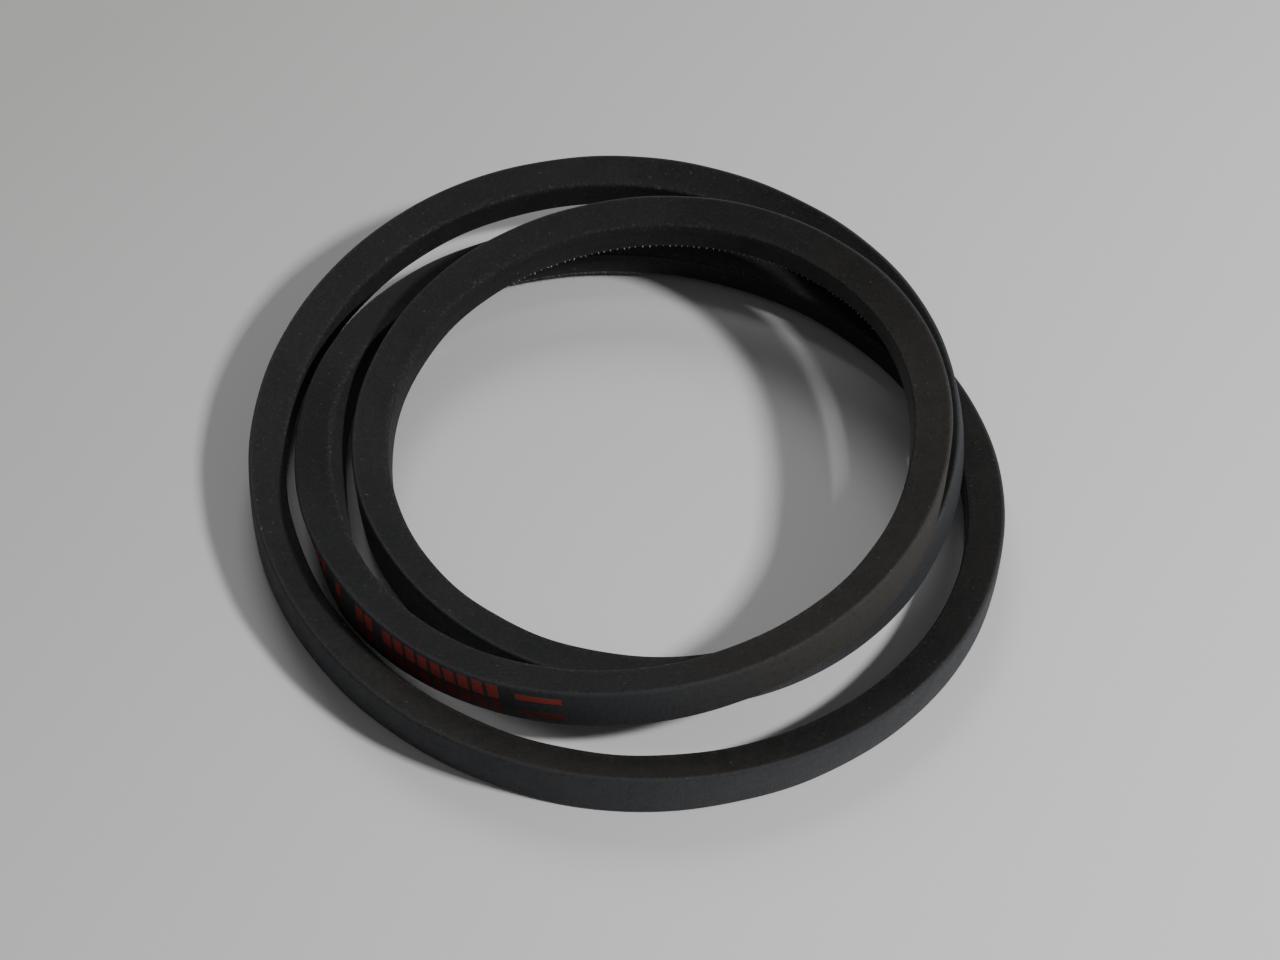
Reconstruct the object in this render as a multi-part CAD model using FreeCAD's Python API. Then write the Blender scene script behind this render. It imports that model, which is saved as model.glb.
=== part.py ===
import FreeCAD, Part
import math
import os

# Classical wrapped V belt, A section, lying coiled in three turns.
# Millimetres, Z up. Origin: middle of the coil's footprint, on the surface it lies on.

# --- Belt section (across = along the belt's width, deep = through its thickness) ---
BACK_WIDTH = 13.0          # wide back of the wedge
DEPTH = 8.5                # narrow face to the top of the crowned back
WEDGE_HALF_ANGLE = 20.0    # each flank, from the belt's middle plane
CROWN_RADIUS = 80.0        # slight arch of the back
BACK_CORNER = 0.8          # rounding where flank meets back
NARROW_CORNER = 0.8        # rounding where flank meets narrow face

# --- Layers, from the outside in ---
PLY = 0.36                 # one ply of rubberised cover fabric
FIT = 0.03                 # drawn gap between bonded layers
OUTER_LAP = 1.2            # where the outer ply's edges meet on the narrow face
INNER_LAP = -1.2           # where the inner ply's edges meet
LAP_GAP = 0.12             # gap between the two edges of a ply
CORD_LINE = 1.1            # cord centre, above mid depth
CORD_RADIUS = 0.5
CORD_SIDES = 18            # arcs that make up the cord's round section
CORD_LAPS = 7              # side-by-side passes of the one long cord
CORD_SPREAD = 7.3          # first to last pass, centre to centre
GUM = 0.4                  # rubber gum each side of the cord

# --- Ink marks on the back: rows of plain blocks, in degrees along the coil ---
INK = 0.06
BLOCK = 2.0                # length of one block
BLOCK_PITCH = 2.75
CODE_BLOCKS = [560.0, 564.0, 567.0, 573.0, 580.0, 582.75]
BAND_START = 587.5
BAND_BLOCKS = 9
BAND_END = (614.5, 8.0)    # start and length of the thin bar after the band
BAR_DROP = 1.4             # how far the thin bar's top lies below the row's top
BAR_HEIGHT = 1.8
ROWS = {"upper": (0.9, 5.3), "lower": (-4.6, -0.3)}

# --- Route of the section's centre: one station every 30 degrees, three turns ---
# Each station is (distance from the coil's middle, height, outward lean of the top flank).
FIRST_TURN = [
    (81.0, 7.5, -3), (78.5, 6.5, -2), (79.5, 6.6, 2), (82.8, 6.5, -1),
    (86.0, 6.6, 2), (87.5, 6.8, 1), (85.0, 6.6, -1), (79.5, 6.5, -1),
    (75.5, 6.7, -5), (74.0, 6.7, -4), (73.5, 8.0, 3), (71.5, 9.6, 17),
]
SECOND_TURN = [
    (67.6, 11.0, 32), (68.0, 11.0, 1), (68.2, 13.2, 2), (68.6, 16.7, 0),
    (69.7, 20.6, 1), (71.4, 24.8, -3), (71.1, 29.0, 2), (71.5, 28.2, -11),
    (70.5, 25.0, -7), (68.0, 21.0, -1), (64.5, 16.5, 4), (60.0, 12.5, 3),
]
THIRD_TURN = [
    (56.5, 9.0, 4), (54.5, 7.5, -2), (54.5, 7.0, 2), (57.5, 7.4, 9),
    (63.0, 7.6, 5), (70.0, 11.0, -3), (75.7, 16.0, -10), (80.5, 19.0, -18),
    (84.0, 19.0, -14), (87.0, 18.0, -2), (87.5, 15.5, -2), (84.5, 11.0, 0),
]
STATIONS = FIRST_TURN + SECOND_TURN + THIRD_TURN
STATION_STEP = 30.0        # degrees between stations
START_ANGLE = 180.0        # where the first station stands
SAMPLE_STEP = 15.0         # degrees between the frames the surfaces pass through
PATCH_SAMPLES = 12         # frames per surface patch, half a turn
MARK_FRAMES = 5            # frames along one ink mark

HALF = DEPTH / 2
TAN = math.tan(math.radians(WEDGE_HALF_ANGLE))
COS = math.cos(math.radians(WEDGE_HALF_ANGLE))
TURN_SAMPLES = len(STATIONS) * round(STATION_STEP / SAMPLE_STEP)


def vector(x, y, z):
    return FreeCAD.Vector(x, y, z)


def spline(points, closed):
    """Smooth curve through the points, one unit of parameter between neighbours."""
    count = len(points) + 1 if closed else len(points)
    curve = Part.BSplineCurve()
    curve.interpolate(Points=points, PeriodicFlag=closed, Parameters=[float(i) for i in range(count)])
    return curve


def station_point(index):
    radius, height, _ = STATIONS[index]
    angle = math.radians(START_ANGLE + STATION_STEP * index)
    return vector(radius * math.cos(angle), radius * math.sin(angle), height)


CENTRE = spline([station_point(i) for i in range(len(STATIONS))], True)
# The lean varies along x; the y steps only keep neighbouring equal values apart.
LEAN = spline([vector(lean, i % 2, 0) for i, (_, _, lean) in enumerate(STATIONS)], True)


def frame_at(degrees):
    """Centre, outward direction and upward direction of the section at an angle along the route."""
    step = (degrees - START_ANGLE) / STATION_STEP % len(STATIONS)
    centre = CENTRE.value(step)
    along = CENTRE.getD1(step)[1].normalize()
    out = vector(along.y, -along.x, 0).normalize()
    up = out.cross(along)
    if up.z < 0:
        up = up * -1
    lean = math.radians(LEAN.value(step).x)
    deep = out * math.cos(lean) - up * math.sin(lean)
    across = up * math.cos(lean) + out * math.sin(lean)
    return centre, deep, across


# --- Section outlines: each edge is a list of (deep, across, weight) control points ---
def line(start, end):
    return [(start[0], start[1], 1.0), (end[0], end[1], 1.0)]


def arc(centre, radius, start, end):
    """Circular arc between two angles in degrees, measured from the outward direction."""
    first = math.radians(start)
    last = math.radians(end)
    middle = (first + last) / 2
    weight = math.cos((last - first) / 2)
    reach = radius / weight
    return [
        (centre[0] + radius * math.cos(first), centre[1] + radius * math.sin(first), 1.0),
        (centre[0] + reach * math.cos(middle), centre[1] + reach * math.sin(middle), weight),
        (centre[0] + radius * math.cos(last), centre[1] + radius * math.sin(last), 1.0),
    ]


def flank(deep, inset=0.0):
    """Half width of the wedge at a depth, with the flank moved inwards."""
    return BACK_WIDTH / 2 - (HALF - deep) * TAN - inset / COS


def crown_centre():
    return HALF - CROWN_RADIUS


def back_corner_centre():
    """Centre of the rounding between the upper flank and the crowned back."""
    reach = CROWN_RADIUS - BACK_CORNER
    low = 0.0
    high = HALF
    for _ in range(50):
        deep = (low + high) / 2
        across = flank(deep, BACK_CORNER)
        if math.hypot(deep - crown_centre(), across) < reach:
            low = deep
        else:
            high = deep
    return deep, across


def narrow_corner_centre():
    deep = NARROW_CORNER - HALF
    return deep, flank(deep, NARROW_CORNER)


def mirrored(edge):
    """The same edge on the lower half of the section, walked the other way."""
    return [(deep, -across, weight) for deep, across, weight in reversed(edge)]


def skin(inset, lap):
    """Outline of the wedge moved inwards, walked from the lap round the section to the lap."""
    back = back_corner_centre()
    narrow = narrow_corner_centre()
    meet = math.degrees(math.atan2(back[1], back[0] - crown_centre()))
    normal = 90.0 + WEDGE_HALF_ANGLE
    bottom = inset - HALF
    lower = arc(narrow, NARROW_CORNER - inset, 180.0, normal)
    upper = arc(back, BACK_CORNER - inset, normal, meet)
    crown = arc((crown_centre(), 0.0), CROWN_RADIUS - inset, meet, -meet)
    side = line(lower[-1], upper[0])
    start = (bottom, lap + LAP_GAP / 2)
    end = (bottom, lap - LAP_GAP / 2)
    first = line(start, lower[0])
    last = line((bottom, -lower[0][1]), end)
    return [first, lower, side, upper, crown, mirrored(upper), mirrored(side), mirrored(lower), last]


def ply_outline(inset, lap):
    """Closed outline of one cover ply: round the outside, across the edge, back round the inside."""
    outside = skin(inset, lap)
    inside = [list(reversed(edge)) for edge in reversed(skin(inset + PLY - FIT, lap))]
    return outside + [line(outside[-1][-1], inside[0][0])] + inside + [line(inside[-1][-1], outside[0][0])]


def slab_outline(bottom, top):
    """Closed outline of a flat layer of the core, between two depths."""
    inset = 2 * PLY
    low = flank(bottom, inset)
    high = flank(top, inset)
    return [
        line((bottom, -low), (bottom, low)),
        line((bottom, low), (top, high)),
        line((top, high), (top, -high)),
        line((top, -high), (bottom, -low)),
    ]


def crowned_outline(bottom):
    """Closed outline of the core's top layer, flat below and arched above."""
    inset = 2 * PLY
    radius = CROWN_RADIUS - inset
    low = flank(bottom, inset)
    deep = HALF - inset
    for _ in range(50):
        high = flank(deep, inset)
        deep = crown_centre() + math.sqrt(radius ** 2 - high ** 2)
    angle = math.degrees(math.asin(high / radius))
    crown = arc((crown_centre(), 0.0), radius, angle, -angle)
    return [
        line((bottom, -low), (bottom, low)),
        line((bottom, low), crown[0]),
        crown,
        line(crown[-1], (bottom, -low)),
    ]


def mark_outline(bottom, top):
    """Closed outline of an ink mark lying on the crowned back, between two places across it."""
    low = math.degrees(math.asin(bottom / CROWN_RADIUS))
    high = math.degrees(math.asin(top / CROWN_RADIUS))
    centre = (crown_centre(), 0.0)
    outer = arc(centre, CROWN_RADIUS + FIT + INK, high, low)
    inner = arc(centre, CROWN_RADIUS + FIT, low, high)
    return [outer, line(outer[-1], inner[0]), inner, line(inner[-1], outer[0])]


def cord_outline():
    span = 360.0 / CORD_SIDES
    return [arc((0.0, 0.0), CORD_RADIUS, span * i, span * (i + 1)) for i in range(CORD_SIDES)]


# --- Solids: an outline carried along a list of frames ---
def carried(outline, frames, closed):
    """Closed solid swept by the outline through the frames."""
    rails = [spline([frame[k] for frame in frames], closed) for k in range(3)]
    for rail in rails:
        if closed:
            rail.setNotPeriodic()
            rail.segment(rail.FirstParameter, rail.LastParameter)
    poles = [rail.getPoles() for rail in rails]
    knots = rails[0].getKnots()
    mults = rails[0].getMultiplicities()
    last = knots[-1]
    cuts = [knots[0]]
    while cuts[-1] + PATCH_SAMPLES < last:
        cuts.append(cuts[-1] + PATCH_SAMPLES)
    cuts.append(last)
    faces = []
    for edge in outline:
        degree = len(edge) - 1
        grid = [[c + n * p[0] + w * p[1] for p in edge] for c, n, w in zip(*poles)]
        weights = [[p[2] for p in edge] for _ in grid]
        surface = Part.BSplineSurface()
        surface.buildFromPolesMultsKnots(
            grid, mults, [degree + 1, degree + 1], knots, [0.0, 1.0], False, False, 3, degree, weights)
        for start, end in zip(cuts, cuts[1:]):
            patch = surface.copy()
            patch.segment(start, end, 0.0, 1.0)
            faces.append(patch.toShape())
    if not closed:
        faces += [cap(outline, frames[0]), cap(outline, frames[-1])]
    shell = Part.makeShell(faces)
    shell.sewShape(1e-4)
    solid = Part.makeSolid(shell)
    if solid.Volume < 0:
        solid.reverse()
    return solid


def cap(outline, frame):
    """Flat end face of an open sweep."""
    centre, deep, across = frame
    edges = []
    for edge in outline:
        curve = Part.BSplineCurve()
        degree = len(edge) - 1
        points = [centre + deep * p[0] + across * p[1] for p in edge]
        curve.buildFromPolesMultsKnots(
            points, [degree + 1, degree + 1], [0.0, 1.0], False, degree, [p[2] for p in edge])
        edges.append(curve.toShape())
    return Part.Face(Part.Wire(edges))


def loop_frames():
    return [frame_at(START_ANGLE + SAMPLE_STEP * i) for i in range(TURN_SAMPLES)]


def cord_frames():
    """Frames along the one cord, stepping sideways by one pitch every time round the belt."""
    frames = []
    total = CORD_LAPS * TURN_SAMPLES - 2
    for i in range(total + 1):
        centre, deep, across = frame_at(START_ANGLE + SAMPLE_STEP * i)
        shift = CORD_SPREAD * (i / total - 0.5)
        frames.append((centre + deep * CORD_LINE + across * shift, deep, across))
    return frames


def mark(start, length, bottom, top):
    """One ink mark, over a length of the coil in degrees."""
    frames = [frame_at(start + length * i / (MARK_FRAMES - 1)) for i in range(MARK_FRAMES)]
    return carried(mark_outline(bottom, top), frames, False)


def ink_nodes():
    """The printed marks, row by row: a few code blocks, an even band and a thin end bar."""
    nodes = {}
    for row, (bottom, top) in ROWS.items():
        code = [mark(start, BLOCK, bottom, top) for start in CODE_BLOCKS]
        band = [mark(BAND_START + BLOCK_PITCH * i, BLOCK, bottom, top) for i in range(BAND_BLOCKS)]
        high = top - BAR_DROP
        nodes[f"ink_code_{row}"] = Part.makeCompound(code)
        nodes[f"ink_band_{row}"] = Part.makeCompound(band)
        nodes[f"ink_bar_{row}"] = mark(*BAND_END, high - BAR_HEIGHT, high)
    return nodes


def build():
    loop = loop_frames()
    upper = CORD_LINE + CORD_RADIUS + FIT
    lower = CORD_LINE - CORD_RADIUS - FIT
    nodes = {
        "cover_outer_ply": carried(ply_outline(0.0, OUTER_LAP), loop, True),
        "cover_inner_ply": carried(ply_outline(PLY, INNER_LAP), loop, True),
        "tension_rubber": carried(crowned_outline(upper + GUM + FIT), loop, True),
        "cord_gum_upper": carried(slab_outline(upper, upper + GUM), loop, True),
        "cord_gum_lower": carried(slab_outline(lower - GUM, lower), loop, True),
        "compression_rubber": carried(slab_outline(2 * PLY - HALF, lower - GUM - FIT), loop, True),
        "tensile_cord": carried(cord_outline(), cord_frames(), False),
    }
    nodes.update(ink_nodes())
    box = nodes["cover_outer_ply"].optimalBoundingBox()
    home = vector(-box.Center.x, -box.Center.y, -box.ZMin)
    for shape in nodes.values():
        shape.translate(home)
    return nodes


os.makedirs("parts", exist_ok=True)
for name, shape in build().items():
    shape.exportStep(f"parts/{name}.step")
    print(name, shape.isValid(), round(shape.Volume, 1))
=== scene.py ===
import math

import bpy
import numpy as np
from mathutils import Matrix, Vector


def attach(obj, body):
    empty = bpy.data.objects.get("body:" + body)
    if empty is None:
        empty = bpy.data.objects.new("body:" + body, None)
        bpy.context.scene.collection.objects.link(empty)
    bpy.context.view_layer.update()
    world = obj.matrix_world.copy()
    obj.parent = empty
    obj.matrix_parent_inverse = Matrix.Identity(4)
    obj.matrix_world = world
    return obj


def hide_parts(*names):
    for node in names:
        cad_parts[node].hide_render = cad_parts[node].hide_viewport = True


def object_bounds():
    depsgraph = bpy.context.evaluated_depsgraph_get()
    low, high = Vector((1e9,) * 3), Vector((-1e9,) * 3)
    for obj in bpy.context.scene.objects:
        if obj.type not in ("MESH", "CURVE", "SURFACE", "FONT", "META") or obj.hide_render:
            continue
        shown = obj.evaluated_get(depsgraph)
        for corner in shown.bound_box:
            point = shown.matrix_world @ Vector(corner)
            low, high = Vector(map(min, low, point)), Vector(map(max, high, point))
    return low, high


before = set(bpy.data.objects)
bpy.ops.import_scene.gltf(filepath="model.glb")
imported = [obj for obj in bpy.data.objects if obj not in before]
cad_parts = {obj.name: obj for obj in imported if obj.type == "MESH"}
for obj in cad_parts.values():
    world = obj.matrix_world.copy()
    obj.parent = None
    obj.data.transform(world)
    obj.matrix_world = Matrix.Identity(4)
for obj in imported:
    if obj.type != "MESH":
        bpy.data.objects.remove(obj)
cad_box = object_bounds()

MM = 0.001
BODY = "root"

# --- Belt section, as built in the frame ---
BACK_WIDTH = 13.0
DEPTH = 8.5
WEDGE_HALF_ANGLE = 20.0
CROWN_RADIUS = 80.0
BACK_CORNER = 0.8
NARROW_CORNER = 0.8

# --- Route: (distance from the middle, height, outward lean of the top flank), every 30 degrees ---
FIRST_TURN = [
    (81.0, 7.5, -3), (78.5, 6.5, -2), (79.5, 6.6, 2), (82.8, 6.5, -1),
    (86.0, 6.6, 2), (87.5, 6.8, 1), (85.0, 6.6, -1), (79.5, 6.5, -1),
    (75.5, 6.7, -5), (74.0, 6.7, -4), (73.5, 8.0, 3), (71.5, 9.6, 17),
]
SECOND_TURN = [
    (67.6, 11.0, 32), (68.0, 11.0, 1), (68.2, 13.2, 2), (68.6, 16.7, 0),
    (69.7, 20.6, 1), (71.4, 24.8, -3), (71.1, 29.0, 2), (71.5, 28.2, -11),
    (70.5, 25.0, -7), (68.0, 21.0, -1), (64.5, 16.5, 4), (60.0, 12.5, 3),
]
THIRD_TURN = [
    (56.5, 9.0, 4), (54.5, 7.5, -2), (54.5, 7.0, 2), (57.5, 7.4, 9),
    (63.0, 7.6, 5), (70.0, 11.0, -3), (75.7, 16.0, -10), (80.5, 19.0, -18),
    (84.0, 19.0, -14), (87.0, 18.0, -2), (87.5, 15.5, -2), (84.5, 11.0, 0),
]
STATIONS = np.array(FIRST_TURN + SECOND_TURN + THIRD_TURN, float)
STEP = 30.0
START = 180.0
TURNS = STEP * len(STATIONS)
FINE_DEGREES = 0.5         # between the points that measure the belt's length
TYPICAL_RADIUS = 70.0      # of the coil, to turn a spacing along the belt into degrees

# --- Ink marks, in degrees along the coil and millimetres across the back ---
BLOCK = 2.0
BLOCK_PITCH = 2.75
CODE_BLOCKS = [560.0, 564.0, 567.0, 573.0, 580.0, 582.75]
BAND_START = 587.5
BAND_BLOCKS = 9
BAND_END = (614.5, 8.0)    # start and length of the bar after the band
BAR_DROP = 1.4             # from the row's top to the bar's
BAR_HEIGHT = 1.8
ROWS = {"upper": (0.9, 5.3), "lower": (-4.6, -0.3)}


# --- Route ---
def periodic_spline(values):
    """Second derivatives of the smooth closed curve through evenly spaced values."""
    count = len(values)
    system = 4 * np.eye(count) + np.roll(np.eye(count), 1, 0) + np.roll(np.eye(count), -1, 0)
    return np.linalg.solve(system, 6 * (np.roll(values, -1, 0) - 2 * values + np.roll(values, 1, 0)))


def spline_value(values, bends, at):
    """Value and slope of the closed curve at fractional station numbers."""
    at = np.mod(at, len(values))
    low = np.floor(at).astype(int)
    high = (low + 1) % len(values)
    t = (at - low)[:, None]
    s = 1 - t
    value = s * values[low] + t * values[high]
    value = value + ((s ** 3 - s) * bends[low] + (t ** 3 - t) * bends[high]) / 6
    slope = values[high] - values[low]
    slope = slope + ((1 - 3 * s ** 2) * bends[low] + (3 * t ** 2 - 1) * bends[high]) / 6
    return value, slope


def unit(v):
    return v / np.linalg.norm(v, axis=-1, keepdims=True)


ANGLES = np.radians(START + STEP * np.arange(len(STATIONS)))
POINTS = np.stack([STATIONS[:, 0] * np.cos(ANGLES), STATIONS[:, 0] * np.sin(ANGLES), STATIONS[:, 1]], 1)
POINT_BENDS = periodic_spline(POINTS)
LEANS = STATIONS[:, 2:]
LEAN_BENDS = periodic_spline(LEANS)


def frames_at(degrees):
    """Centre of the section in millimetres, and the ways its back, its top flank and its length point."""
    at = (np.asarray(degrees, float) - START) / STEP
    centre, slope = spline_value(POINTS, POINT_BENDS, at)
    along = unit(slope)
    out = unit(np.stack([along[:, 1], -along[:, 0], 0 * along[:, 0]], 1))
    up = np.cross(out, along)
    up = up * np.sign(up[:, 2:])
    lean = np.radians(spline_value(LEANS, LEAN_BENDS, at)[0])
    deep = out * np.cos(lean) - up * np.sin(lean)
    across = up * np.cos(lean) + out * np.sin(lean)
    return centre, deep, across, along


def frame_at(degrees):
    """The same four at a single place."""
    return [values[0] for values in frames_at([degrees])]


FINE = np.arange(0, TURNS, FINE_DEGREES)
FINE_POINTS = frames_at(START + FINE)[0]
FINE_STEPS = np.linalg.norm(np.roll(FINE_POINTS, -1, 0) - FINE_POINTS, axis=1)
FINE_LENGTH = np.concatenate([[0], np.cumsum(FINE_STEPS)])
LENGTH = FINE_LENGTH[-1]


def length_at(degrees):
    """Distance along the belt from its start, in millimetres."""
    turned = np.asarray(degrees, float) - START
    return np.interp(turned, np.append(FINE, TURNS), FINE_LENGTH)


def degrees_at(length):
    return START + np.interp(length, FINE_LENGTH, np.append(FINE, TURNS))


# --- Section ---
HALF = DEPTH / 2
TAN = math.tan(math.radians(WEDGE_HALF_ANGLE))
COS = math.cos(math.radians(WEDGE_HALF_ANGLE))
CROWN_CENTRE = HALF - CROWN_RADIUS
HALVINGS = 50              # steps of the search for the back corner's centre
NARROW_PARTS = 3           # parts that each half of the outline is drawn in
NARROW_CORNER_PARTS = 5
FLANK_PARTS = 9
BACK_CORNER_PARTS = 6
CROWN_PARTS = 6


def flank(deep, inset=0.0):
    """Distance from the section's middle to its flank, or to a line inset from the flank."""
    return BACK_WIDTH / 2 - (HALF - deep) * TAN - inset / COS


def back_corner_centre():
    """Centre of the round corner that touches both the flank and the crown."""
    low, high = 0.0, HALF
    for _ in range(HALVINGS):
        deep = (low + high) / 2
        if math.hypot(deep - CROWN_CENTRE, flank(deep, BACK_CORNER)) < CROWN_RADIUS - BACK_CORNER:
            low = deep
        else:
            high = deep
    return deep, flank(deep, BACK_CORNER)


def arc_points(centre, radius, start, end, count):
    angles = np.radians(np.linspace(start, end, count, endpoint=False))
    return np.stack([centre[0] + radius * np.cos(angles), centre[1] + radius * np.sin(angles)], 1)


def line_points(start, end, count):
    t = np.linspace(0, 1, count, endpoint=False)[:, None]
    return (1 - t) * np.array(start) + t * np.array(end)


def section():
    """Outline of the wedge, from the middle of the narrow face up round the back and down again."""
    back = back_corner_centre()
    narrow = (NARROW_CORNER - HALF, flank(NARROW_CORNER - HALF, NARROW_CORNER))
    meet = math.degrees(math.atan2(back[1], back[0] - CROWN_CENTRE))
    normal = 90.0 + WEDGE_HALF_ANGLE
    lower = arc_points(narrow, NARROW_CORNER, 180.0, normal, NARROW_CORNER_PARTS)
    upper = arc_points(back, BACK_CORNER, normal, meet, BACK_CORNER_PARTS)
    flank_low = np.array(narrow) + NARROW_CORNER * np.array([math.cos(math.radians(normal)), COS])
    side = line_points(flank_low, upper[0], FLANK_PARTS)
    crown = arc_points((CROWN_CENTRE, 0.0), CROWN_RADIUS, meet, 0.0, CROWN_PARTS)
    half = np.concatenate([line_points((-HALF, 0.0), lower[0], NARROW_PARTS), lower, side, upper, crown])
    other = half[1:][::-1] * np.array([1, -1])
    return np.concatenate([half, [[HALF, 0.0]], other])


SECTION = section()
SECTION_STEPS = np.linalg.norm(np.roll(SECTION, -1, 0) - SECTION, axis=1)
GIRTH_AT = np.concatenate([[0], np.cumsum(SECTION_STEPS)])
TANGENTS = unit(np.roll(SECTION, -1, 0) - np.roll(SECTION, 1, 0))
NORMALS = np.stack([TANGENTS[:, 1], -TANGENTS[:, 0]], 1)
if NORMALS[len(SECTION) // 2, 0] < 0:
    NORMALS = -NORMALS


# --- Surface relief, in millimetres, added along the section's normal ---
WAVE_AMOUNT = 0.05
WAVES_ADDED = 14           # sine waves that make up one quarter's unevenness
WAVE_COUNTS = (12, 70)     # a wave repeats this often round the belt, up to but not at the last
WAVE_SCALE = 3.5           # brings their sum down to about 1
WAVE_BLEND = 1.5           # how far the waves of the upper and lower halves reach past the middle
HOLLOW = 0.10              # how far the pressed flanks sink between their edges
HOLLOW_EDGE = 2.5          # depth over which a flank sinks at each of its edges
HOLLOW_SIDE = (1.5, 3.0)   # distance from the section's middle where the sinking starts and is full
LAP_STEP = 0.10            # edge of the outer ply on the narrow face
LAP_AT = 1.2
LAP_RISE = 4.0             # width over which the ply rises to its edge
LAP_FADE = (0.1, 0.4)      # height over the narrow face where the step starts to fade and is gone
SPLICE_AT = 574.5          # where the cover's ends overlap, degrees along the coil
SPLICE_SLANT = 0.4         # shift along the belt for each millimetre of depth
SPLICE_STEP = 0.2
SPLICE_FACE = 0.2          # length over which the overlap rises
SPLICE_TAIL = 7.0          # length over which it thins out
SPLICE_LEVEL = 60.0        # distance after which it thins no further
WRINKLES = (534.0, 570.0)  # stretch whose narrow face is squeezed by the bend
WRINKLES_START = 8.0       # degrees over which the wrinkles grow at its start
WRINKLES_STOP = 10.0       # degrees over which they die out at its end
WRINKLE_SIDE = (0.5, 2.0)  # distance above the section's middle where they start and are full
WRINKLE_FADE = (1.2, 3.0)  # height over the narrow face where they start to fade and are gone
WRINKLE_PITCH = 0.62
WRINKLE_DRIFT = 1.7        # radians by which the ripple runs ahead and behind
WRINKLE_DRIFT_LENGTH = 3.1
WRINKLE_HEIGHT = 0.045


def waves(length, seed):
    """Slow, closed, repeatable unevenness along the belt, about -1 to 1."""
    random = np.random.default_rng(seed)
    total = np.zeros_like(length)
    for _ in range(WAVES_ADDED):
        count = random.integers(*WAVE_COUNTS)
        total += np.sin(2 * math.pi * (count * length / LENGTH + random.random())) / WAVE_SCALE
    return total


def smooth(low, high, x):
    """0 up to low, 1 from high on, and an even rise between them."""
    t = np.clip((x - low) / (high - low), 0, 1)
    return t * t * (3 - 2 * t)


def unevenness(length, deep, across):
    """Slow waves, different ones in each quarter of the section."""
    back_side = smooth(-HALF, HALF, deep)
    top_side = smooth(-WAVE_BLEND, WAVE_BLEND, across)
    total = waves(length, 1) * back_side * top_side + waves(length, 2) * back_side * (1 - top_side)
    total = total + waves(length, 3) * (1 - back_side) * top_side
    return WAVE_AMOUNT * (total + waves(length, 4) * (1 - back_side) * (1 - top_side))


def flank_hollow(deep, across):
    """Depth to which the flanks are pressed in."""
    on_flank = smooth(-HALF, -HALF + HOLLOW_EDGE, deep) * (1 - smooth(HALF - HOLLOW_EDGE, HALF, deep))
    on_flank = on_flank * smooth(*HOLLOW_SIDE, np.abs(across))
    return HOLLOW * on_flank


def ply_lap(deep, across):
    """The outer ply rising to its cut edge on the narrow face."""
    start, end = LAP_FADE
    narrow = 1 - smooth(-HALF + start, -HALF + end, deep)
    return LAP_STEP * narrow * smooth(LAP_AT - LAP_RISE, LAP_AT, across) * (across <= LAP_AT)


def splice(length, deep):
    """The end of the cover's strip lying over its start."""
    past = length - length_at(SPLICE_AT) + SPLICE_SLANT * deep
    thinned = np.exp(-np.clip(past, 0, SPLICE_LEVEL) / SPLICE_TAIL)
    return SPLICE_STEP * smooth(0.0, SPLICE_FACE, past) * thinned


def wrinkles(length, degrees, deep, across):
    """Fine ripple beside the narrow face where the tight bend squeezes it."""
    first, last = WRINKLES
    squeezed = smooth(first, first + WRINKLES_START, degrees)
    squeezed = squeezed * (1 - smooth(last - WRINKLES_STOP, last, degrees))
    start, end = WRINKLE_FADE
    inner_edge = smooth(*WRINKLE_SIDE, across) * (1 - smooth(-HALF + start, -HALF + end, deep))
    drift = WRINKLE_DRIFT * np.sin(length / WRINKLE_DRIFT_LENGTH)
    ripple = np.sin(2 * math.pi * length / WRINKLE_PITCH + drift)
    return WRINKLE_HEIGHT * ripple * squeezed * inner_edge


def relief(length, degrees):
    """Height of the relief for every ring (rows) and section point (columns)."""
    deep = SECTION[:, 0][None, :]
    across = SECTION[:, 1][None, :]
    length = length[:, None]
    degrees = degrees[:, None]
    total = unevenness(length, deep, across) - flank_hollow(deep, across)
    total = total + ply_lap(deep, across)
    total = total + splice(length, deep)
    return total + wrinkles(length, degrees, deep, across)


# --- Mesh helpers ---
def add_object(name, mesh, material=None):
    obj = bpy.data.objects.new(name, mesh)
    bpy.context.scene.collection.objects.link(obj)
    if material:
        mesh.materials.append(material)
    return obj


def mesh_from(name, points, faces):
    mesh = bpy.data.meshes.new(name)
    mesh.from_pydata([tuple(p) for p in points], [], faces)
    mesh.update()
    return mesh


def add_uv(mesh, name, corner_uv):
    layer = mesh.uv_layers.new(name=name)
    layer.data.foreach_set("uv", np.asarray(corner_uv, np.float32).ravel())


def add_attribute(mesh, name, values):
    layer = mesh.attributes.new(name, "FLOAT", "POINT")
    layer.data.foreach_set("value", np.asarray(values, np.float32).ravel())


# --- Cover ---
RING_STEP = 0.85
FINE_STEP = 0.13
FINE_STRETCH = (534.0, 578.0)
HOME_RINGS = 2400          # rings that measure the cover's box
EDGE_DROP = 0.3            # depth of the worn corners' centres under the back or narrow face
EDGE_WEAR = (0.3, 1.3)     # distance from those centres where the wear starts to fade and is gone
BACK_LIGHT_SPAN = (1.2, 0.4)     # depth under the crown's top where the back's painted light starts and is full

# Stretches rubbed dusty: first and last degree, side (1 top flank, 0 back), amount.
DUSTY = [(190.0, 236.0, 1, 0.14), (236.0, 300.0, 1, 0.34), (322.0, 400.0, 1, 0.24),
         (645.0, 760.0, 1, 0.52), (652.0, 722.0, 0, 1.0)]
DUST_FADE = 22.0           # degrees before and after each end of a stretch
DUST_TOP = (1.5, 3.5)      # distance above the section's middle where its dust starts and is full
DUST_BACK = (0.9, 0.3)     # depth under the crown's top where the back's dust starts and is full


def near_back(start, full):
    """0 deeper under the crown's top than start, and 1 from full up."""
    return smooth(HALF - start, HALF - full, SECTION[:, 0])


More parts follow.
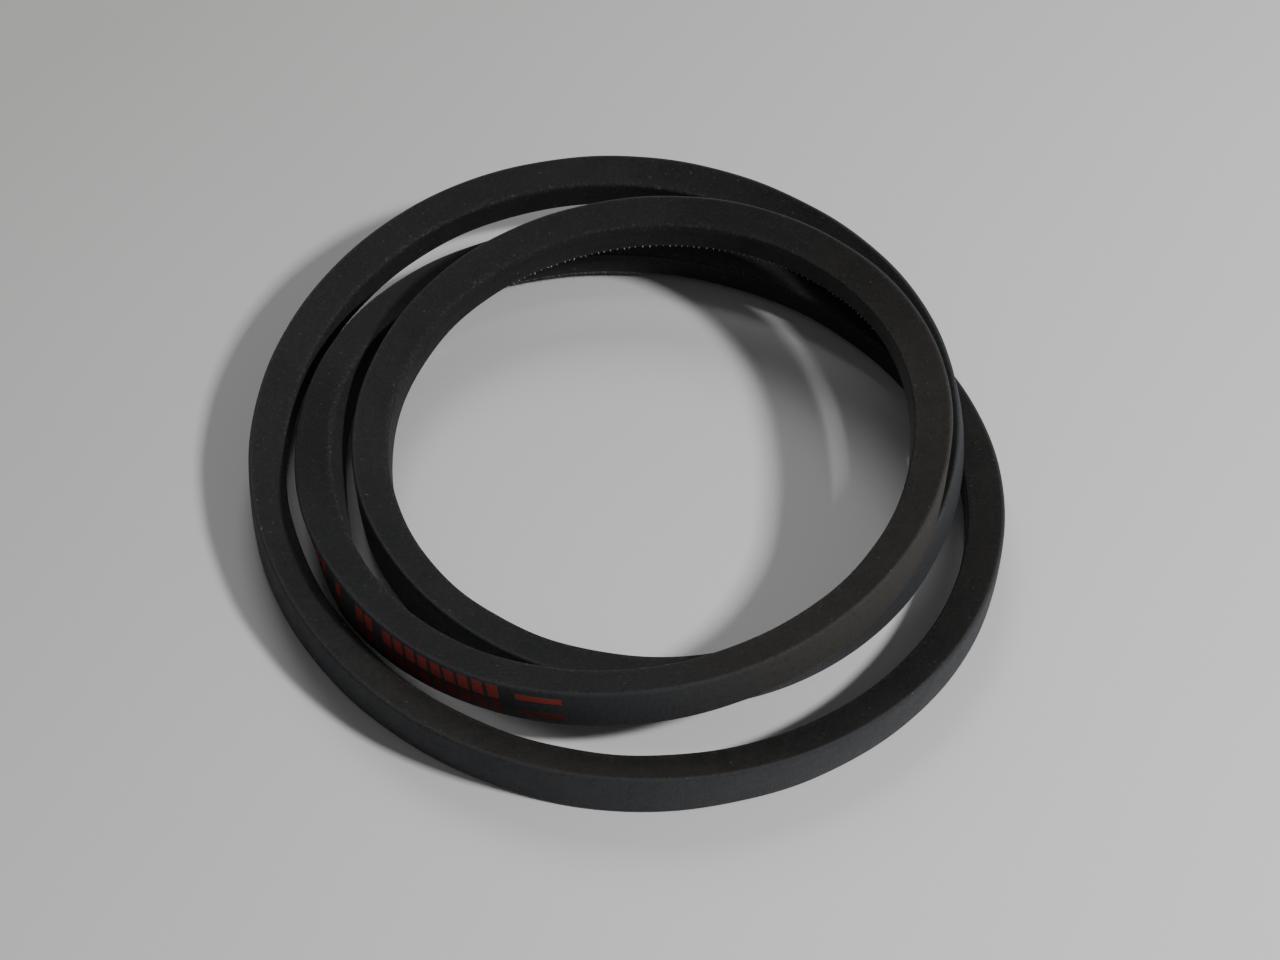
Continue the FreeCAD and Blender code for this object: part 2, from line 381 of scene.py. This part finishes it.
def dust_amount(degrees):
    """How dusty each point of the cover is, ring by ring."""
    on_back = near_back(*DUST_BACK)
    on_top = smooth(*DUST_TOP, SECTION[:, 1]) * (1 - on_back)
    total = np.zeros((len(degrees), len(SECTION)))
    for first, last, side, amount in DUSTY:
        along = smooth(first - DUST_FADE, first + DUST_FADE, degrees)
        along = along * (1 - smooth(last - DUST_FADE, last + DUST_FADE, degrees))
        total += amount * along[:, None] * (on_top if side else on_back)[None, :]
    return np.clip(total, 0, 1)


def edge_wear():
    """How worn each point of the section is, most at its four corners."""
    corner = np.minimum.reduce([
        np.hypot(SECTION[:, 0] - deep, SECTION[:, 1] - side * flank(deep))
        for deep in (HALF - EDGE_DROP, -HALF + EDGE_DROP) for side in (1, -1)])
    return 1 - smooth(*EDGE_WEAR, corner)


def ring_lengths():
    """Places of the rings along the belt, closer together where the relief is fine."""
    first, last = length_at(FINE_STRETCH[0]), length_at(FINE_STRETCH[1])
    before = np.linspace(0, first, round(first / RING_STEP), endpoint=False)
    fine = np.linspace(first, last, round((last - first) / FINE_STEP), endpoint=False)
    after = np.linspace(last, LENGTH, round((LENGTH - last) / RING_STEP), endpoint=False)
    return np.concatenate([before, fine, after])


def cover_points(lengths):
    """Points of the cover, ring by ring, in the route's frame and millimetres."""
    degrees = degrees_at(lengths)
    centre, deep, across, _ = frames_at(degrees)
    height = relief(lengths, degrees)
    d = SECTION[None, :, 0] + height * NORMALS[None, :, 0]
    a = SECTION[None, :, 1] + height * NORMALS[None, :, 1]
    return centre[:, None] + deep[:, None] * d[..., None] + across[:, None] * a[..., None]


def home_shift():
    """Shift from the route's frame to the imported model's: boxes centred, lowest points level."""
    points = cover_points(np.linspace(0, LENGTH, HOME_RINGS, endpoint=False)).reshape(-1, 3)
    low, high = points.min(0), points.max(0)
    cad_low, cad_high = np.array(cad_box[0]) / MM, np.array(cad_box[1]) / MM
    shift = (cad_low + cad_high) / 2 - (low + high) / 2
    shift[2] = cad_low[2] - low[2]
    return shift


HOME = home_shift()


def build_cover():
    lengths = ring_lengths()
    points = (cover_points(lengths) + HOME) * MM
    rings, sides = points.shape[:2]
    faces = []
    uv = []
    ends = np.append(lengths, LENGTH)
    for i in range(rings):
        k = (i + 1) % rings
        for j in range(sides):
            m = (j + 1) % sides
            faces.append((i * sides + j, k * sides + j, k * sides + m, i * sides + m))
            u0, u1, v0, v1 = ends[i], ends[i + 1], GIRTH_AT[j], GIRTH_AT[j + 1]
            uv.append((u0, v0, u1, v0, u1, v1, u0, v1))
    mesh = mesh_from("cover_fabric", points.reshape(-1, 3), faces)
    add_uv(mesh, "belt", uv)
    add_attribute(mesh, "edge", np.tile(edge_wear(), rings))
    # the back mask carries the painted light of the back
    add_attribute(mesh, "back", np.tile(near_back(*BACK_LIGHT_SPAN), rings))
    add_attribute(mesh, "dust", dust_amount(degrees_at(lengths)))
    mesh.shade_smooth()
    return add_object("cover_fabric", mesh)


# --- Material helpers ---
class Nodes:
    """Small helper that adds shader nodes and links them."""

    def __init__(self, name):
        self.material = bpy.data.materials.new(name)
        self.material.use_nodes = True
        self.tree = self.material.node_tree
        self.shader = self.tree.nodes["Principled BSDF"]

    def add(self, kind, inputs=None, **settings):
        node = self.tree.nodes.new(kind)
        for key, value in settings.items():
            setattr(node, key, value)
        for key, value in (inputs or {}).items():
            self.feed(node.inputs[key], value)
        return node

    def feed(self, socket, value):
        if isinstance(value, bpy.types.NodeSocket):
            self.tree.links.new(value, socket)
        else:
            socket.default_value = value

    def place(self):
        return self.add("ShaderNodeTexCoord").outputs["Object"]

    def attribute(self, name):
        return self.add("ShaderNodeAttribute", attribute_name=name).outputs["Fac"]

    def math(self, operation, a, b=0.0):
        return self.add("ShaderNodeMath", {0: a, 1: b}, operation=operation).outputs[0]

    def times(self, a, b):
        return self.math("MULTIPLY", a, b)

    def line(self, value, slope, start):
        """The value times the slope, plus the start."""
        return self.math("ADD", self.times(value, slope), start)

    def noise(self, vector, scale, detail=2.0, roughness=0.5):
        inputs = {"Vector": vector, "Scale": scale, "Detail": detail, "Roughness": roughness}
        return self.add("ShaderNodeTexNoise", inputs).outputs["Fac"]

    def ramp(self, value, low, high):
        inputs = {"Value": value, "From Min": low, "From Max": high}
        return self.add("ShaderNodeMapRange", inputs, clamp=True).outputs["Result"]

    def mix(self, amount, a, b):
        node = self.add("ShaderNodeMix", {"Factor": amount}, data_type="RGBA")
        self.feed(node.inputs[6], a)
        self.feed(node.inputs[7], b)
        return node.outputs[2]

    def bump(self, height, strength, distance):
        inputs = {"Strength": strength, "Distance": distance, "Height": height}
        return self.add("ShaderNodeBump", inputs).outputs[0]

    def set(self, **inputs):
        for key, value in inputs.items():
            self.feed(self.shader.inputs[key.replace("_", " ")], value)


def grey(level, warm=0.0):
    return (level * (1 + warm), level, level * (1 - warm), 1.0)


def scaled(colour, strength):
    return (*(strength * part for part in colour), 1.0)


# --- Materials: colours are linear, and a noise scale is its number of lumps in a metre ---
THREAD = 0.55              # pitch of the cover's threads, mm
FABRIC_DARK = (0.0042, 0.0049, 0.0058, 1.0)
FABRIC_PALE = (0.0088, 0.0091, 0.0094, 1.0)
# Painted light: the back's colour is set far paler than the fabric's, standing in for light on the backs in
# shade
BACK_PAINTED_LIGHT = (0.0480, 0.0520, 0.0575, 1.0)
DUST_TINT = (0.036, 0.030, 0.021, 1.0)
THREAD_TINT = (0.028, 0.027, 0.026, 1.0)
SPECK_TINT = (0.027, 0.0255, 0.0235, 1.0)
PIT_TINT = (0.0022, 0.0024, 0.0028, 1.0)
WORN_TINT = (0.055, 0.050, 0.045, 1.0)
LINT_TINT = (0.15, 0.135, 0.11, 1.0)
CORD_DARK = (0.32, 0.28, 0.2, 1.0)
CORD_PALE = (0.62, 0.56, 0.44, 1.0)
INK_DARK = (0.20, 0.028, 0.021)
INK_PALE = (0.33, 0.047, 0.035)
INK_GONE = 0.012           # grey of the cover where the ink has worn off
INK_WEAR_EDGE = 0.2        # width of the change from ink to no ink
# Floor colours at the two ends of a painted light falloff: bright at the front right, dim at the back left
FLOOR_PAINTED_LIT = [(0.71, 0.705, 0.725, 1.0), (0.75, 0.745, 0.765, 1.0)]
FLOOR_PAINTED_DIM = [(0.425, 0.42, 0.41, 1.0), (0.455, 0.45, 0.44, 1.0)]
FLOOR_LIGHT_SLANT = (0.707, -0.707, 0.0)  # painted light falloff runs along this, from the back left to the front right
FLOOR_PAINTED_FALLOFF = (-0.22, 0.17)  # where along it the painted light on the floor is dimmest and brightest, in metres


def weave(nodes, uv):
    """Height of a plain weave laid at 45 degrees to the belt, 0 to 1."""
    turned = nodes.add("ShaderNodeMapping", {"Vector": uv, "Rotation": (0, 0, math.radians(45))})
    sizes = {0: turned.outputs[0], 1: (1 / THREAD,) * 3}
    scaled_uv = nodes.add("ShaderNodeVectorMath", sizes, operation="MULTIPLY")
    cells = nodes.add("ShaderNodeSeparateXYZ", {0: scaled_uv.outputs[0]})
    x, y = cells.outputs[0], cells.outputs[1]
    round_x = nodes.math("ABSOLUTE", nodes.math("SINE", nodes.times(x, math.pi)))
    round_y = nodes.math("ABSOLUTE", nodes.math("SINE", nodes.times(y, math.pi)))
    parity = nodes.math("ADD", nodes.math("FLOOR", x), nodes.math("FLOOR", y))
    over = nodes.math("FLOORED_MODULO", parity, 2.0)
    under = nodes.math("SUBTRACT", 1.0, over)
    return nodes.math("ADD", nodes.times(round_x, over), nodes.times(round_y, under))


def cover_material():
    """Black rubbered fabric, with its back painted paler as painted light, dust, threads, specks, pits, worn
    corners and lint.
    """
    nodes = Nodes("cover_fabric")
    uv = nodes.add("ShaderNodeUVMap", uv_map="belt").outputs[0]
    place = nodes.place()
    threads = weave(nodes, uv)
    broad = nodes.ramp(nodes.noise(place, scale=45.0, detail=5.0, roughness=0.65), 0.36, 0.62)
    rubbed = nodes.ramp(nodes.noise(place, scale=190.0, detail=4.0, roughness=0.7), 0.38, 0.66)
    grain = nodes.noise(place, scale=1300.0, detail=3.0, roughness=0.8)
    speck = nodes.ramp(grain, 0.50, 0.66)
    sound = nodes.ramp(nodes.noise(place, scale=900.0, detail=2.0, roughness=0.7), 0.33, 0.44)
    lint = nodes.ramp(nodes.noise(place, scale=1300.0, detail=1.0, roughness=0.5), 0.76, 0.80)
    layers = [
        # Painted light: the back is mixed towards a pale colour in place of the light falling on it
        (nodes.times(nodes.attribute("back"), 0.6), BACK_PAINTED_LIGHT),
        (nodes.times(nodes.attribute("dust"), nodes.line(rubbed, 0.6, 0.4)), DUST_TINT),
        (nodes.times(threads, nodes.line(rubbed, 0.22, 0.03)), THREAD_TINT),
        (nodes.times(speck, 0.42), SPECK_TINT),
        (nodes.times(nodes.math("SUBTRACT", 1.0, sound), 0.35), PIT_TINT),
        (nodes.times(nodes.attribute("edge"), nodes.line(speck, 0.40, 0.04)), WORN_TINT),
        (nodes.times(lint, 0.5), LINT_TINT),
    ]
    base = nodes.mix(broad, FABRIC_DARK, FABRIC_PALE)
    for amount, tint in layers:
        base = nodes.mix(amount, base, tint)
    height = nodes.math("ADD", nodes.times(threads, 0.18), grain)
    nodes.set(Base_Color=base, Roughness=nodes.line(rubbed, 0.12, 0.66))
    nodes.set(Normal=nodes.bump(height, strength=0.9, distance=0.0002))
    nodes.set(Sheen_Weight=0.06, Sheen_Roughness=0.4, Specular_IOR_Level=0.19)
    return nodes.material


def rubber_material(name, level, warm=0.0):
    nodes = Nodes(name)
    grain = nodes.noise(nodes.place(), scale=900.0, detail=3.0)
    nodes.set(Base_Color=nodes.mix(grain, grey(level * 0.7, warm), grey(level * 1.3, warm)))
    nodes.set(Roughness=nodes.ramp(grain, -1.5, 1.6))
    nodes.set(Normal=nodes.bump(grain, strength=0.3, distance=0.0001))
    return nodes.material


def cord_material():
    nodes = Nodes("tensile_cord")
    twist = nodes.noise(nodes.place(), scale=1800.0, detail=2.0, roughness=0.6)
    nodes.set(Base_Color=nodes.mix(twist, CORD_DARK, CORD_PALE), Roughness=0.7)
    nodes.set(Normal=nodes.bump(twist, strength=0.6, distance=0.0001))
    return nodes.material


def ink_material(name, cover_left, strength):
    """Printed red ink, worn through in patches: less is left of it the lower cover_left is."""
    nodes = Nodes(name)
    place = nodes.place()
    grain = nodes.noise(place, scale=2300.0, detail=3.0, roughness=0.75)
    patch = nodes.noise(place, scale=420.0, detail=2.0)
    wear = nodes.math("ADD", grain, nodes.times(patch, 0.6))
    gone = nodes.ramp(wear, cover_left, cover_left + INK_WEAR_EDGE)
    ink = nodes.mix(patch, scaled(INK_DARK, strength), scaled(INK_PALE, strength))
    nodes.set(Base_Color=nodes.mix(gone, ink, grey(INK_GONE)))
    nodes.set(Normal=nodes.bump(grain, strength=0.5, distance=0.00012))
    nodes.set(Roughness=0.75, Specular_IOR_Level=0.3)
    return nodes.material


def thread_material(name, low, high):
    nodes = Nodes(name)
    shade = nodes.noise(nodes.place(), scale=3000.0, detail=1.0)
    nodes.set(Base_Color=nodes.mix(shade, grey(low, 0.05), grey(high, 0.06)), Roughness=0.85)
    return nodes.material


def floor_material():
    nodes = Nodes("floor")
    place = nodes.place()
    # Painted light: the floor's colour fades from dim to bright along the slant, standing in for the lamps'
    # falloff
    slant = nodes.add("ShaderNodeVectorMath", {0: place, 1: FLOOR_LIGHT_SLANT}, operation="DOT_PRODUCT")
    fade = nodes.ramp(slant.outputs["Value"], *FLOOR_PAINTED_FALLOFF)
    cloud = nodes.noise(place, scale=6.0, detail=2.0)
    near = nodes.mix(cloud, *FLOOR_PAINTED_LIT)
    far = nodes.mix(cloud, *FLOOR_PAINTED_DIM)
    nodes.set(Base_Color=nodes.mix(fade, far, near), Roughness=0.75)
    return nodes.material


# --- Ink marks ---
INK_LIFT = 0.045           # outer side of the ink over the cover
INK_EDGE = 0.03            # inner side of the ink under the cover's surface
INK_STEP = 0.35
FEWEST_POINTS = 3          # along or across a mark
CROWN_DROP = 1.0           # depth under the crown's top of the section points that carry the ink


def ink_faces(along_count, across_count):
    """Faces of two grids of points, outer and inner, and of the rim between them."""
    half = along_count * across_count
    faces = []
    for i in range(along_count - 1):
        for j in range(across_count - 1):
            a, b = i * across_count + j, (i + 1) * across_count + j
            faces.append((a, b, b + 1, a + 1))
            faces.append((half + a, half + a + 1, half + b + 1, half + b))
    rim = [i * across_count for i in range(along_count)]
    rim += [(along_count - 1) * across_count + j for j in range(1, across_count)]
    rim += [i * across_count + across_count - 1 for i in range(along_count - 2, -1, -1)]
    rim += [j for j in range(across_count - 2, 0, -1)]
    for a, b in zip(rim, rim[1:] + rim[:1]):
        faces.append((a, half + a, half + b, b))
    return faces


def ink_patch(start, length, bottom, top):
    """Closed thin patch following the cover: its outer and inner points, and its faces."""
    first, last = length_at(start), length_at(start + length)
    along_count = max(FEWEST_POINTS, round((last - first) / INK_STEP))
    across_count = max(FEWEST_POINTS, round((top - bottom) / INK_STEP))
    lengths = np.linspace(first, last, along_count)
    rows = np.linspace(bottom, top, across_count)
    degrees = degrees_at(lengths)
    centre, deep, across, _ = frames_at(degrees)
    crown = CROWN_CENTRE + np.sqrt(CROWN_RADIUS ** 2 - rows ** 2)
    used = [j for j in np.argsort(SECTION[:, 1]) if SECTION[j, 0] >= HALF - CROWN_DROP]
    heights = relief(lengths, degrees)
    lift = np.stack([np.interp(rows, SECTION[used, 1], h[used]) for h in heights])
    sheets = []
    for extra in (INK_LIFT, -INK_EDGE):
        d = crown[None, :] + lift + extra
        sheets.append(centre[:, None] + deep[:, None] * d[..., None] + across[:, None] * rows[None, :, None])
    points = np.concatenate([s.reshape(-1, 3) for s in sheets])
    return points, ink_faces(along_count, across_count)


def build_joined(name, shapes, material):
    """One object from several shapes, each its points in the route's frame and its faces."""
    points, faces, base = [], [], 0
    for more, polygons in shapes:
        points.append((more + HOME) * MM)
        faces += [tuple(base + i for i in polygon) for polygon in polygons]
        base += len(more)
    return add_object(name, mesh_from(name, np.concatenate(points), faces), material)


def build_ink(name, patches, material):
    obj = build_joined(name, [ink_patch(*patch) for patch in patches], material)
    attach(obj, BODY)
    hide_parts(name)


# --- Loose threads along the edges ---
THREAD_STRETCHES = [(748.0, 846.0, 1.7), (446.0, 482.0, 1.1)]  # first and last degree, spacing in mm
THREAD_SEED = 11
THREAD_SIZE = (0.3, 0.7)
THREAD_RADIUS = (0.07, 0.13)
THREAD_SPREAD = (0.85, 1.15)  # least and most of the spacing between two threads
THREAD_SHIFT = 0.12        # random shift of a root, in degrees
THREAD_SWAY = 0.15         # random shift of a tip along the belt
THREAD_BEND = 0.06         # random shift of a thread's middle
ROOT_SHARE = 0.30          # share of the narrow corner's radius that the roots lie in from the faces
FUZZ_SEED = 23
FUZZ_COUNT = 1500
FUZZ_FACING = (5, 100)     # degrees from the way the back faces, round towards the flank
FUZZ_ROOT = 0.03           # depth of the roots in the cover
FUZZ_SHORTEST = 0.08
FUZZ_SPREAD = 0.22
FUZZ_RADIUS = (0.012, 0.022)
FUZZ_SIDES = 3
TUBE_SIDES = 5
TUBE_TAPER = 0.6           # share of the radius lost at the tip
TUBE_SIDEWAYS = (0.3, 0.5, 0.81)  # sets where the rings start, and is along none of the tubes


def tube_along(points, radius, sides=TUBE_SIDES):
    """Closed thin tube through the points, tapering to its tip."""
    points = np.asarray(points, float)
    last = len(points) - 1
    turn = 2 * math.pi * np.arange(sides) / sides
    rings = []
    for i, p in enumerate(points):
        ahead = unit(points[min(i + 1, last)] - points[max(i - 1, 0)])
        side = unit(np.cross(ahead, TUBE_SIDEWAYS))
        other = np.cross(ahead, side)
        size = radius * (1 - TUBE_TAPER * i / last)
        rings.append(p + size * (np.cos(turn)[:, None] * side + np.sin(turn)[:, None] * other))
    faces = []
    for i in range(last):
        for j in range(sides):
            k = (j + 1) % sides
            faces.append((i * sides + j, i * sides + k, (i + 1) * sides + k, (i + 1) * sides + j))
    faces.append(tuple(reversed(range(sides))))
    faces.append(tuple(last * sides + j for j in range(sides)))
    return np.concatenate(rings), faces


def build_tubes(name, tubes, material):
    obj = build_joined(name, tubes, material)
    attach(obj, BODY)


def lower_edge(degrees):
    """Point on the narrow face's lower edge, and the directions round it."""
    centre, deep, across, along = frame_at(degrees)
    reach = NARROW_CORNER * ROOT_SHARE
    d = -HALF + reach
    return centre + deep * d - across * (flank(d) - reach), deep, across, along


def thread_ends():
    """Pale cut ends of the fabric's threads, in rows along the narrow face's lower edge."""
    random = np.random.default_rng(THREAD_SEED)
    tubes = []
    for first, last, pitch in THREAD_STRETCHES:
        at = first
        while at < last:
            root, deep, across, along = lower_edge(at + random.normal(0, THREAD_SHIFT))
            size = random.uniform(*THREAD_SIZE)
            tip = root - deep * size * 0.7 - across * size * 0.5 + along * random.normal(0, THREAD_SWAY)
            middle = (root + tip) / 2 + along * random.normal(0, THREAD_BEND)
            tubes.append(tube_along([root, middle, tip], random.uniform(*THREAD_RADIUS)))
            at += math.degrees(pitch * random.uniform(*THREAD_SPREAD) / TYPICAL_RADIUS)
    return tubes


def fuzz():
    """Short fibres standing off the two corners of the back."""
    random = np.random.default_rng(FUZZ_SEED)
    tubes = []
    corner_deep, corner_across = back_corner_centre()
    for _ in range(FUZZ_COUNT):
        centre, deep, across, along = frame_at(START + random.uniform(0, TURNS))
        side = random.choice([-1, 1])
        angle = math.radians(random.uniform(*FUZZ_FACING))
        out = deep * math.cos(angle) + across * side * math.sin(angle)
        corner = centre + deep * corner_deep + across * side * corner_across
        root = corner + out * (BACK_CORNER - FUZZ_ROOT)
        size = abs(random.normal(0, FUZZ_SPREAD)) + FUZZ_SHORTEST
        bend = along * random.normal(0, 0.6) + deep * random.normal(0, 0.3)
        middle = root + out * size * 0.5 + bend * size * 0.2
        tip = root + out * size * 0.7 + bend * size
        tubes.append(tube_along([root, middle, tip], random.uniform(*FUZZ_RADIUS), FUZZ_SIDES))
    return tubes


# --- Build ---
cover_look = cover_material()
cover = build_cover()
cover.data.materials.append(cover_look)
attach(cover, BODY)
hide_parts("cover_outer_ply")

gum_look = rubber_material("cord_gum", 0.05, 0.15)
INNER_LOOKS = {
    "cover_inner_ply": rubber_material("inner_ply", 0.03),
    "tension_rubber": rubber_material("tension_rubber", 0.02),
    "cord_gum_upper": gum_look,
    "cord_gum_lower": gum_look,
    "compression_rubber": rubber_material("compression_rubber", 0.016),
    "tensile_cord": cord_material(),
}
for node, look in INNER_LOOKS.items():
    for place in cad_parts[node].material_slots:
        place.material = look

INK_LOOKS = {"upper": ink_material("ink_upper", 0.93, 1.0), "lower": ink_material("ink_lower", 0.86, 0.55)}
for row, (low, high) in ROWS.items():
    look = INK_LOOKS[row]
    build_ink(f"ink_code_{row}", [(start, BLOCK, low, high) for start in CODE_BLOCKS], look)
    band = [(BAND_START + BLOCK_PITCH * i, BLOCK, low, high) for i in range(BAND_BLOCKS)]
    build_ink(f"ink_band_{row}", band, look)
    bar_top = high - BAR_DROP
    build_ink(f"ink_bar_{row}", [(*BAND_END, bar_top - BAR_HEIGHT, bar_top)], look)

build_tubes("thread_ends", thread_ends(), thread_material("thread_ends", 0.30, 0.75))
build_tubes("edge_fuzz", fuzz(), thread_material("edge_fuzz", 0.03, 0.12))

# --- Floor, light and camera ---
FLOOR_SIZE = 6.0           # half of the floor's side
floor = add_object("floor", mesh_from("floor", [
    (-FLOOR_SIZE, -FLOOR_SIZE, 0), (FLOOR_SIZE, -FLOOR_SIZE, 0),
    (FLOOR_SIZE, FLOOR_SIZE, 0), (-FLOOR_SIZE, FLOOR_SIZE, 0)], [(0, 1, 2, 3)]), floor_material())


def area_light(name, azimuth, elevation, distance, size, power):
    """Soft square light on the middle, at a compass angle (0 is +X, 90 is +Y) and a height angle."""
    data = bpy.data.lights.new(name, "AREA")
    data.size = size
    data.energy = power
    obj = bpy.data.objects.new(name, data)
    a, e = math.radians(azimuth), math.radians(elevation)
    offset = Vector((math.cos(e) * math.cos(a), math.cos(e) * math.sin(a), math.sin(e))) * distance
    obj.location = offset
    obj.rotation_euler = offset.to_track_quat("Z", "Y").to_euler()
    bpy.context.scene.collection.objects.link(obj)


area_light("key", azimuth=-20, elevation=43.5, distance=1.5, size=0.17, power=22.5)
area_light("back", azimuth=100, elevation=46, distance=1.3, size=0.6, power=5.6)

WORLD_STRENGTH = 0.16
world = bpy.data.worlds.new("studio")
world.use_nodes = True
background = world.node_tree.nodes["Background"]
background.inputs["Color"].default_value = (1.0, 1.0, 1.0, 1.0)
background.inputs["Strength"].default_value = WORLD_STRENGTH
bpy.context.scene.world = world

CAMERA_HEIGHT_ANGLE = 50.5
CAMERA_DISTANCE = 0.530
CAMERA_LENS = 62.9
CAMERA_SENSOR = 36.0
CAMERA_NEAREST = 0.01
CAMERA_ROLL = 1.01
CAMERA_AIM = np.array([5.8, 4.1, 0.0])  # in the route's frame, millimetres
TARGET = Vector((CAMERA_AIM + HOME) * MM)
camera_data = bpy.data.cameras.new("camera")
camera_data.lens = CAMERA_LENS
camera_data.sensor_width = CAMERA_SENSOR
camera_data.clip_start = CAMERA_NEAREST
camera = bpy.data.objects.new("camera", camera_data)
height = math.radians(CAMERA_HEIGHT_ANGLE)
camera.location = TARGET + CAMERA_DISTANCE * Vector((0, -math.cos(height), math.sin(height)))
tilt = Matrix.Rotation(math.radians(90 - CAMERA_HEIGHT_ANGLE), 4, "X")
camera.rotation_euler = (tilt @ Matrix.Rotation(math.radians(CAMERA_ROLL), 4, "Z")).to_euler()
bpy.context.scene.collection.objects.link(camera)
bpy.context.scene.camera = camera
